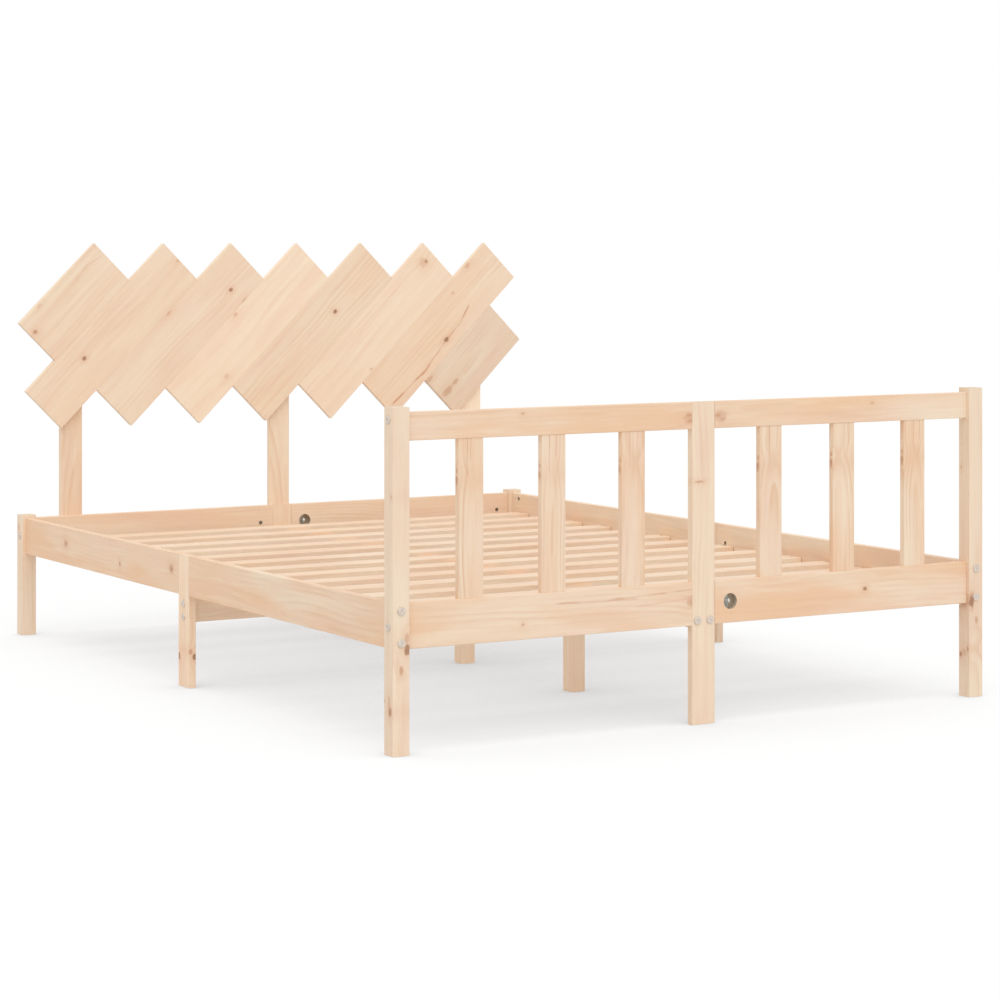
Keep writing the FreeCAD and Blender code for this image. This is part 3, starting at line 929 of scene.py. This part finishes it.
# Rails
footRails = {
    "foot_top_rail_left": {
        "ringGap": 0.0105, "pith": (-0.012, 0.024), "warmth": 0.9, "knots": (
            (0.326, -0.005, 0.015, 0.36, 1.3), (0.324, 0.001, 0.0042, 0.6, 1.8),
            (0.327, -0.011, 0.0042, 0.62, 1.6), (-0.072, 0.017, 0.004, 0.42, 1.4))},
    "foot_top_rail_right": {
        "ringGap": 0.0105, "pith": (0.014, 0.026), "warmth": 0.9, "knots": (
            (-0.318, -0.003, 0.015, 0.38, 1.4), (-0.323, -0.001, 0.0045, 0.62, 1.9),
            (-0.312, -0.009, 0.004, 0.55, 1.8), (0.074, 0.012, 0.0038, 0.42, 1.4))},
    "foot_bottom_rail_left": {
        "ringGap": 0.011, "pith": (-0.03, 0.026), "warmth": 1.2, "knots": (
            (0.33, 0.006, 0.013, 0.44, 1.0), (0.332, 0.004, 0.006, 0.55, 1.2),
            (-0.072, -0.015, 0.0036, 0.45, 1.4)), "streaks": (
            ((0.19, 0.003), (0.325, 0.012), 0.002, 0.36),
            ((0.0, 0.021), (0.205, 0.019), 0.003, 0.44),
            ((0.13, 0.021), (0.338, 0.03), 0.003, 0.48))},
    "foot_bottom_rail_right": {
        "ringGap": 0.011, "pith": (0.026, 0.022), "warmth": 1.2,
        "knots": ((0.055, 0.004, 0.0042, 0.85, 1.3),)},
}
makeBoards(footRails, "endRail", grain=0.7)
plainEndRails = {
    "head_rail_left": {"ringGap": 0.009, "warmth": 0.6},
    "head_rail_right": {"ringGap": 0.009, "warmth": 0.6},
    "cross_rail": {"ringGap": 0.009, "warmth": 0.4, "grain": 0.3},
    "headboard_batten_left": {"ringGap": 0.008},
    "headboard_batten_right": {"ringGap": 0.008},
}
makeBoards(plainEndRails, "endRail")
sideRails = {
    "side_rail_left_front": {"ringGap": 0.011, "pith": (-0.03, -0.026), "warmth": 1.0},
    "side_rail_left_rear": {
        "ringGap": 0.011, "pith": (0.028, -0.024), "warmth": 1.55, "grain": 0.4, "knots": (
            (0.206, 0.006, 0.011, 0.5, 1.2), (0.206, 0.006, 0.005, 0.7, 1.2),
            (-0.138, -0.01, 0.007, 0.62, 0.8), (-0.138, -0.01, 0.003, 0.7, 1.0),
            (-0.442, 0.008, 0.012, 0.52, 1.2), (-0.442, 0.006, 0.005, 0.75, 1.2))},
    "side_rail_right_front": {"ringGap": 0.01, "warmth": 0.6},
    "side_rail_right_rear": {"ringGap": 0.01, "warmth": 0.6},
    **{"slat_ledge_" + corner: {"ringGap": 0.006}
       for corner in ("left_front", "left_rear", "right_front", "right_rear")},
}
makeBoards(sideRails, "sideRail")
print("rails and ledges made")

# Uprights of the foot end and of the headboard
footSlats = {
    # ring gap, pith, warmth, height and strength of the knots, two dark lines at the top
    "foot_slat_1": (0.009, (0.004, 0.017), 0.8, 0.075, 0.65, (-0.0096, -0.0015)),
    "foot_slat_2": (0.0085, (-0.006, 0.015), 0.8, 0.078, 0.55, (-0.011, 0.005)),
    "foot_slat_3": (0.0085, (0.005, 0.014), 0.8, 0.082, 0.5, (-0.01, 0.0075)),
    "foot_slat_4": (0.009, (0.007, 0.016), 1.25, 0.073, 0.65, (-0.005, 0.0155)),
    "foot_slat_5": (0.0085, (-0.004, 0.017), 1.25, 0.073, 0.65, (0.0, 0.013)),
    "foot_slat_6": (0.0088, (0.006, 0.015), 1.1, 0.072, 0.65, (-0.004, 0.013)),
}
for node, (ringGap, pith, warmth, height, strength, (first, second)) in footSlats.items():
    makeBoard(node, "upright", {
        "ringGap": ringGap, "pith": pith, "grain": 0.8, "warmth": warmth,
        "knots": ((height, 0.001, 0.005, strength, 2.2, "side"),
                  (height + 0.018, 0.0, 0.0034, strength * 0.9, 1.8, "side")),
        "streaks": (((0.08, first + 0.002), (0.18, first), 0.0018, 0.5),
                    ((0.11, second), (0.18, second + 0.001), 0.0016, 0.42))})
uprights = {
    "headboard_upright_left": {"ringGap": 0.009},
    "headboard_upright_middle": {"ringGap": 0.009, "tone": 1.02},
    # the right upright's paler tone is partly its own wood and partly painted light that lifts the
    # shadow which the plank above casts on it
    "headboard_upright_right": {"ringGap": 0.009, "warmth": 0.0, "tone": 1.15, "grain": 0.35},
}
makeBoards(uprights, "upright")
centreLegs = {"centre_leg_front": {"tone": 1.12}, "centre_leg_middle": {"tone": 1.17},
              "centre_leg_rear": {"tone": 1.17}}
makeBoards(centreLegs, "upright", ringGap=0.007, warmth=0.0, grain=0.25)
beams = {"centre_beam_front": {}, "centre_beam_rear": {}}
makeBoards(beams, "flatAlong", ringGap=0.008)
print("uprights, slats of the foot end and beam made")

# Planks of the headboard
planks = {
    "headboard_plank_1": {
        "ringGap": 0.013, "pith": (-0.03, 0.034), "warmth": 0.3, "tone": 1.02, "knots": (
            (-0.129, -0.022, 0.0056, 0.7, 1.2), (-0.075, -0.061, 0.006, 0.28, 1.6)),
        "streaks": (((0.02, -0.036), (0.09, -0.042), 0.003, 0.35),
                    ((0.08, -0.042), (0.14, -0.03), 0.0026, 0.3))},
    "headboard_plank_2": {
        "ringGap": 0.012, "pith": (0.04, 0.044), "warmth": 0.3, "tone": 1.03, "knots": (
            (-0.098, -0.014, 0.005, 0.9, 1.2), (0.261, -0.007, 0.0036, 0.4, 1.8))},
    "headboard_plank_3": {
        "ringGap": 0.013, "pith": (-0.05, 0.034), "warmth": 0.25, "tone": 1.03, "knots": (
            (0.178, 0.019, 0.005, 0.9, 1.2), (0.012, -0.064, 0.0042, 0.4, 2.4),
            (0.186, 0.067, 0.005, 0.4, 2.4))},
    "headboard_plank_4": {
        "ringGap": 0.015, "pith": (0.06, 0.044), "warmth": 0.0, "tone": 1.08, "grain": 0.2,
        "knots": ((0.006, -0.061, 0.0046, 0.42, 2.0), (-0.127, 0.036, 0.0075, 0.3, 1.3))},
    "headboard_plank_5": {
        "ringGap": 0.012, "pith": (-0.065, 0.034), "warmth": 0.45, "tone": 1.02,
        "knots": ((0.081, 0.008, 0.0052, 0.95, 1.1),)},
    "headboard_plank_6": {
        "ringGap": 0.014, "pith": (0.04, 0.04), "warmth": 0.1, "tone": 1.06, "grain": 0.3,
        "knots": ((0.228, -0.03, 0.016, 0.34, 1.0), (0.236, -0.026, 0.0046, 0.8, 1.1),
                  (-0.088, 0.061, 0.003, 0.5, 1.2))},
    "headboard_plank_7": {
        "ringGap": 0.012, "pith": (0.046, 0.026), "warmth": 0.4, "tone": 1.03, "knots": (
            (0.183, -0.061, 0.0064, 0.4, 1.6), (0.098, -0.04, 0.0028, 0.5, 1.2),
            (-0.007, 0.036, 0.0056, 0.95, 1.5)),
        "streaks": (((-0.25, 0.04), (-0.1, 0.05), 0.0042, 0.76),
                    ((-0.13, 0.051), (-0.002, 0.036), 0.0042, 0.76),
                    ((-0.02, 0.036), (0.07, 0.034), 0.004, 0.72),
                    ((0.045, 0.037), (0.112, 0.02), 0.0038, 0.68))},
    "headboard_plank_8": {
        "ringGap": 0.0095, "pith": (0.01, 0.026), "grain": 0.55, "warmth": 0.2, "tone": 0.95,
        "knots": ((-0.116, 0.004, 0.01, 0.46, 2.4), (-0.082, 0.003, 0.0066, 0.44, 2.0),
                  (-0.132, -0.06, 0.007, 0.42, 2.0))},
}
makeBoards(planks, "slant", edge=0.0008, width=0.135, grain=0.4)
print("headboard planks made")


# Slats across the frame, seven in each half

bedSlats = {"ringGap": 0.009}


def makeBedSlats(node):
    look = {**plainBoard, **bedSlats}
    made = []
    for number, (low, high) in enumerate(looseParts(node), 1):
        name = pieceName(node) + str(number)
        slat = sawBoard(name, low, high, 0, look["edge"])
        slat.data.materials.append(pineMaterial(name + "Pine", (low + high) / 2, "flatAcross",
                                                look))
        drillBoard(slat, low, high)
        made.append(slat)
    finishBoard(joinAll(made, pieceName(node)), node)


makeBedSlats("bed_slats_front")
makeBedSlats("bed_slats_rear")
print("bed slats made")

for tool in {drill[0] for drill in drills}:
    bpy.data.objects.remove(tool)


# Fasteners, each modelled once, pointing down with its outer end at the origin

threading = {"root": 0.87, "end": 0.85, "waist": 0.9}   # shares of the thread's radius


def threadProfile(start, end, radius, pitch):
    profile = []
    for step in range(int((start - end) / pitch)):
        top = start - step * pitch
        profile += [(top, radius), (top - pitch / 2, radius * threading["root"])]
    return profile + [(end, radius * threading["end"])]


def barProfile(top, bottom, radius, bevel, inset=None):
    narrow = radius - (inset or bevel)
    return [(top, narrow), (top - bevel, radius), (bottom + bevel, radius), (bottom, narrow)]


def addHexagon(across, top, depth):
    return addNew(bpy.ops.mesh.primitive_cylinder_add, vertices=6, radius=across / math.sqrt(3),
                  depth=depth, location=(0, 0, top - depth / 2))


def cutBore(model, radius, reach, middle=(0, 0, 0), turn=0.0):
    cutWith(model, addNew(bpy.ops.mesh.primitive_cylinder_add, vertices=drilling["corners"],
                          radius=radius, depth=reach, location=middle, rotation=(0, turn, 0)))


def cutSlot(model, size):
    cutWith(model, addNew(bpy.ops.mesh.primitive_cube_add, size=1, scale=size))


def placeAll(model, places, node, material, name=None):
    made = [ownCopy(model, place) for place in places]
    bpy.data.objects.remove(model)
    piece = joinAll(made, name or pieceName(node))
    setPlace(piece)
    piece.data.materials.clear()
    piece.data.materials.append(material)
    finishBoard(piece, node)


def railWay(way):
    # along the rail, for a nut or washer that is put into its face
    return Vector((1, 0, 0) if isAlong(way, 1) else (0, 1, 0))


def makeBolts(node):
    length = lengthOf(node)
    shank, wide, under = bolt["shank"], bolt["headRadius"], -bolt["headHeight"]
    drop, inset = bolt["rimMiddle"]
    threadTop = max(-length + bolt["thread"], under - bolt["plainLeast"])
    profile = [(0, wide - bolt["rim"]), (-drop, wide - inset), (-bolt["rim"], wide),
               (under, wide), (under, shank), (threadTop, shank)]
    profile += threadProfile(threadTop, -length, shank, bolt["pitch"])
    model = turnShape("boltModel", profile, bolt["corners"])
    cutWith(model, addHexagon(bolt["socket"], overrun, bolt["socketDepth"] + overrun))
    placeAll(model, spots(node), node, steel)


def makeBarrelNuts():
    length = barrelNut["length"]
    model = turnShape("barrelNutModel",
                      barProfile(0, -length, barrelNut["radius"], barrelNut["bevel"]),
                      barrelNut["corners"])
    cutSlot(model, barrelNut["slot"])
    cutBore(model, barrelNut["bore"], barrelNut["boreReach"], (0, 0, -length / 2), quarterTurn)
    places = [placedAt(point, into, railWay(into)) for point, into, size in seats["barrel_nuts"]]
    placeAll(model, places, "barrel_nuts", shadeDarkZinc)


def makeRods():
    length = lengthOf("joint_rods")
    rod, pitch, thread = pullJoint["rod"], pullJoint["pitch"], pullJoint["thread"]
    profile = threadProfile(0, -thread, rod, pitch)
    profile[0] = (0, rod * threading["end"])
    profile[-1] = (-thread, rod * threading["waist"])
    profile += threadProfile(-length + thread, -length, rod, pitch)
    model = turnShape("rodModel", profile, pullJoint["rodCorners"])
    placeAll(model, spots("joint_rods"), "joint_rods", steel)


def makeHexNuts():
    height = pullJoint["nutHeight"]
    model = addHexagon(pullJoint["nutAcross"], 0, height)
    setPlace(model)
    edge = turnShape("nutEdge", barProfile(0, -height, pullJoint["nutRound"],
                                           *pullJoint["nutBevel"]), pullJoint["nutCorners"])
    useModifier(model, "BOOLEAN", operation="INTERSECT", object=edge, solver="EXACT")
    bpy.data.objects.remove(edge)
    cutBore(model, pullJoint["bore"], pullJoint["nutReach"])
    # the nuts take the lit copy of the zinc, a painted highlight
    placeAll(model, spots("hex_nuts"), "hex_nuts", brightZinc)


def makeWashers():
    half, flat = pullJoint["washerWidth"] / 2, pullJoint["washerFlat"]
    model = turnShape("washerModel", barProfile(half, -half, pullJoint["washerRadius"],
                                                pullJoint["washerBevel"]), pullJoint["corners"])
    pickOnly(model)
    bpy.ops.object.mode_set(mode="EDIT")
    bpy.ops.mesh.select_all(action="SELECT")
    bpy.ops.mesh.bisect(plane_co=(flat, 0, 0), plane_no=(1, 0, 0), use_fill=True,
                        clear_outer=True)
    bpy.ops.object.mode_set(mode="OBJECT")

    def isFlat(edge):
        return all(abs(vert.co.x - flat) < accuracy["level"] for vert in edge.verts)

    bevelWhere(model, isFlat, pullJoint["flatBevel"], 2)
    cutBore(model, pullJoint["bore"], pullJoint["washerReach"], turn=quarterTurn)
    places = [placedAt(point, -face, railWay(face)) for point, face in pocketPlaces]
    # the washers take the darkened zinc, painted shade inside the pocket
    placeAll(model, places, "half_moon_washers", shadeDarkZinc)


def makeScrews():
    length, rim = lengthOf("wood_screws"), screw["headRadius"] - screw["rimInset"]
    shank, threadFrom = screw["shank"], -screw["threadFrom"]
    profile = [(0, rim), (-screw["rim"], rim), (-screw["headHeight"], shank),
               (threadFrom, shank)]
    profile += threadProfile(threadFrom, -length + screw["point"], shank, screw["pitch"])
    profile += [(-length, screw["tip"])]
    model = turnShape("screwModel", profile, screw["corners"])
    long, narrow, deep = screw["recess"]
    cutSlot(model, (long, narrow, deep))
    cutSlot(model, (narrow, long, deep))
    placeAll(model, spots("wood_screws"), "wood_screws", steel)


def makeDowels():
    corners = dowel["corners"]
    model = turnShape("dowelModel",
                      barProfile(0, -dowel["length"], dowel["radius"], dowel["bevel"]), corners)

    def isFlute(face):
        middle = face.calc_center_median()
        around = math.atan2(middle.y, middle.x) / (2 * math.pi) * corners
        return abs(face.normal.z) < accuracy["lean"] and math.floor(around) % 2 == 0

    selectWhere(model, "FACE", isFlute)
    bpy.ops.mesh.inset(thickness=dowel["fluteInset"], depth=-dowel["flute"],
                       use_individual=True)
    bpy.ops.object.mode_set(mode="OBJECT")
    look = {**plainBoard, **dowel["look"]}
    placeAll(model, spots("dowels"), "dowels",
             pineMaterial("dowelBeech", Vector((0, 0, 0)), "endRail", look), "flutedDowels")


def makeInserts():
    profile = threadProfile(0, -insertNut["length"], insertNut["radius"], insertNut["pitch"])
    model = turnShape("insertModel", profile, insertNut["corners"])
    cutBore(model, insertNut["bore"], insertNut["boreReach"])
    placeAll(model, spots("insert_nuts"), "insert_nuts", shadeDarkZinc)


def makeStuds():
    profile = threadProfile(0, -lengthOf("leg_studs"), bolt["shank"], bolt["pitch"])
    model = turnShape("studModel", profile, insertNut["studCorners"])
    placeAll(model, spots("leg_studs"), "leg_studs", steel)


for node in boltNodes:
    makeBolts(node)
makeBarrelNuts()
makeRods()
makeHexNuts()
makeWashers()
makeScrews()
makeDowels()
makeInserts()
makeStuds()
print("fasteners made")


# Floor and light

lighting = {
    "sky": 0.8, "sunStrength": 0.93, "sunPlace": (-1, -4, 6), "sunFrom": (-0.2, -0.5, 0.84),
    "sunSpread": 50,      # degrees, for a soft shadow
    "floorSize": 60, "floorDrop": 0.0002, "floorBounce": 0.82,
    # floorEven is the share of the floor seen by the camera as a glow that darkens by ambient
    # occlusion, a painted shadow; the rest is real diffuse light with its real shadow
    "floorEven": 0.85,    # how much of the shadow that the camera sees has no wood colour in it
    "shadeReach": 1.3, "shadeSlope": 0.68, "shadeDepth": 0.468, "shadeBlend": 0.06,
    "shadeSamples": 24,
}
pureWhite = (1, 1, 1, 1)


def emptyTree(owner):
    owner.use_nodes = True
    owner.node_tree.nodes.clear()
    return owner.node_tree


def shownDirectly(tree):
    # 1 for what the camera sees, also by way of metal
    path = addNode(tree, "ShaderNodeLightPath").outputs
    return calc(tree, "MAXIMUM", path["Is Camera Ray"],
                calc(tree, "MAXIMUM", path["Is Glossy Ray"], path["Is Transmission Ray"]))


def mixShaders(tree, factor, first, second):
    return addNode(tree, "ShaderNodeMixShader",
                   {0: factor, 1: first.outputs[0], 2: second.outputs[0]})


def floorMaterial():
    material = bpy.data.materials.new("floorWhite")
    tree = emptyTree(material)
    bounce = addNode(tree, "ShaderNodeBsdfDiffuse",
                     {"Color": (lighting["floorBounce"],) * 3 + (1,)})
    shown = addNode(tree, "ShaderNodeBsdfDiffuse", {"Color": pureWhite})
    # painted shadow: the floor that the camera sees glows less where ambient occlusion finds the
    # bed near
    corner = addNode(tree, "ShaderNodeAmbientOcclusion", {"Distance": lighting["shadeReach"]},
                     samples=lighting["shadeSamples"])
    shade = calc(tree, "MULTIPLY_ADD", corner.outputs["AO"], lighting["shadeSlope"],
                 lighting["shadeDepth"])
    occlusionShadowGlow = addNode(tree, "ShaderNodeEmission", {
        "Strength": calc(tree, "SMOOTH_MIN", shade, 1.0, lighting["shadeBlend"])})
    lifted = mixShaders(tree, lighting["floorEven"], shown, occlusionShadowGlow)
    chosen = mixShaders(tree, shownDirectly(tree), bounce, lifted)
    addNode(tree, "ShaderNodeOutputMaterial", {"Surface": chosen.outputs[0]})
    return material


floor = addNew(bpy.ops.mesh.primitive_plane_add, size=lighting["floorSize"],
               location=(0, 0, -lighting["floorDrop"]))
floor.name = "floor"
floor.data.materials.append(floorMaterial())

sun = addNew(bpy.ops.object.light_add, type="SUN", location=lighting["sunPlace"])
sun.name = "softSun"
sun.data.energy = lighting["sunStrength"]
sun.data.angle = math.radians(lighting["sunSpread"])
sun.rotation_euler = Vector(lighting["sunFrom"]).to_track_quat("Z", "Y").to_euler()

world = bpy.data.worlds.new("paleStudio")
bpy.context.scene.world = world
tree = emptyTree(world)
sky, backdrop = (addNode(tree, "ShaderNodeBackground", {"Color": pureWhite, "Strength": strength})
                 for strength in (lighting["sky"], 1.0))
mixed = mixShaders(tree, shownDirectly(tree), sky, backdrop)
addNode(tree, "ShaderNodeOutputWorld", {"Surface": mixed.outputs[0]})
bpy.context.scene.view_settings.view_transform = "Standard"
print("floor and light ready")
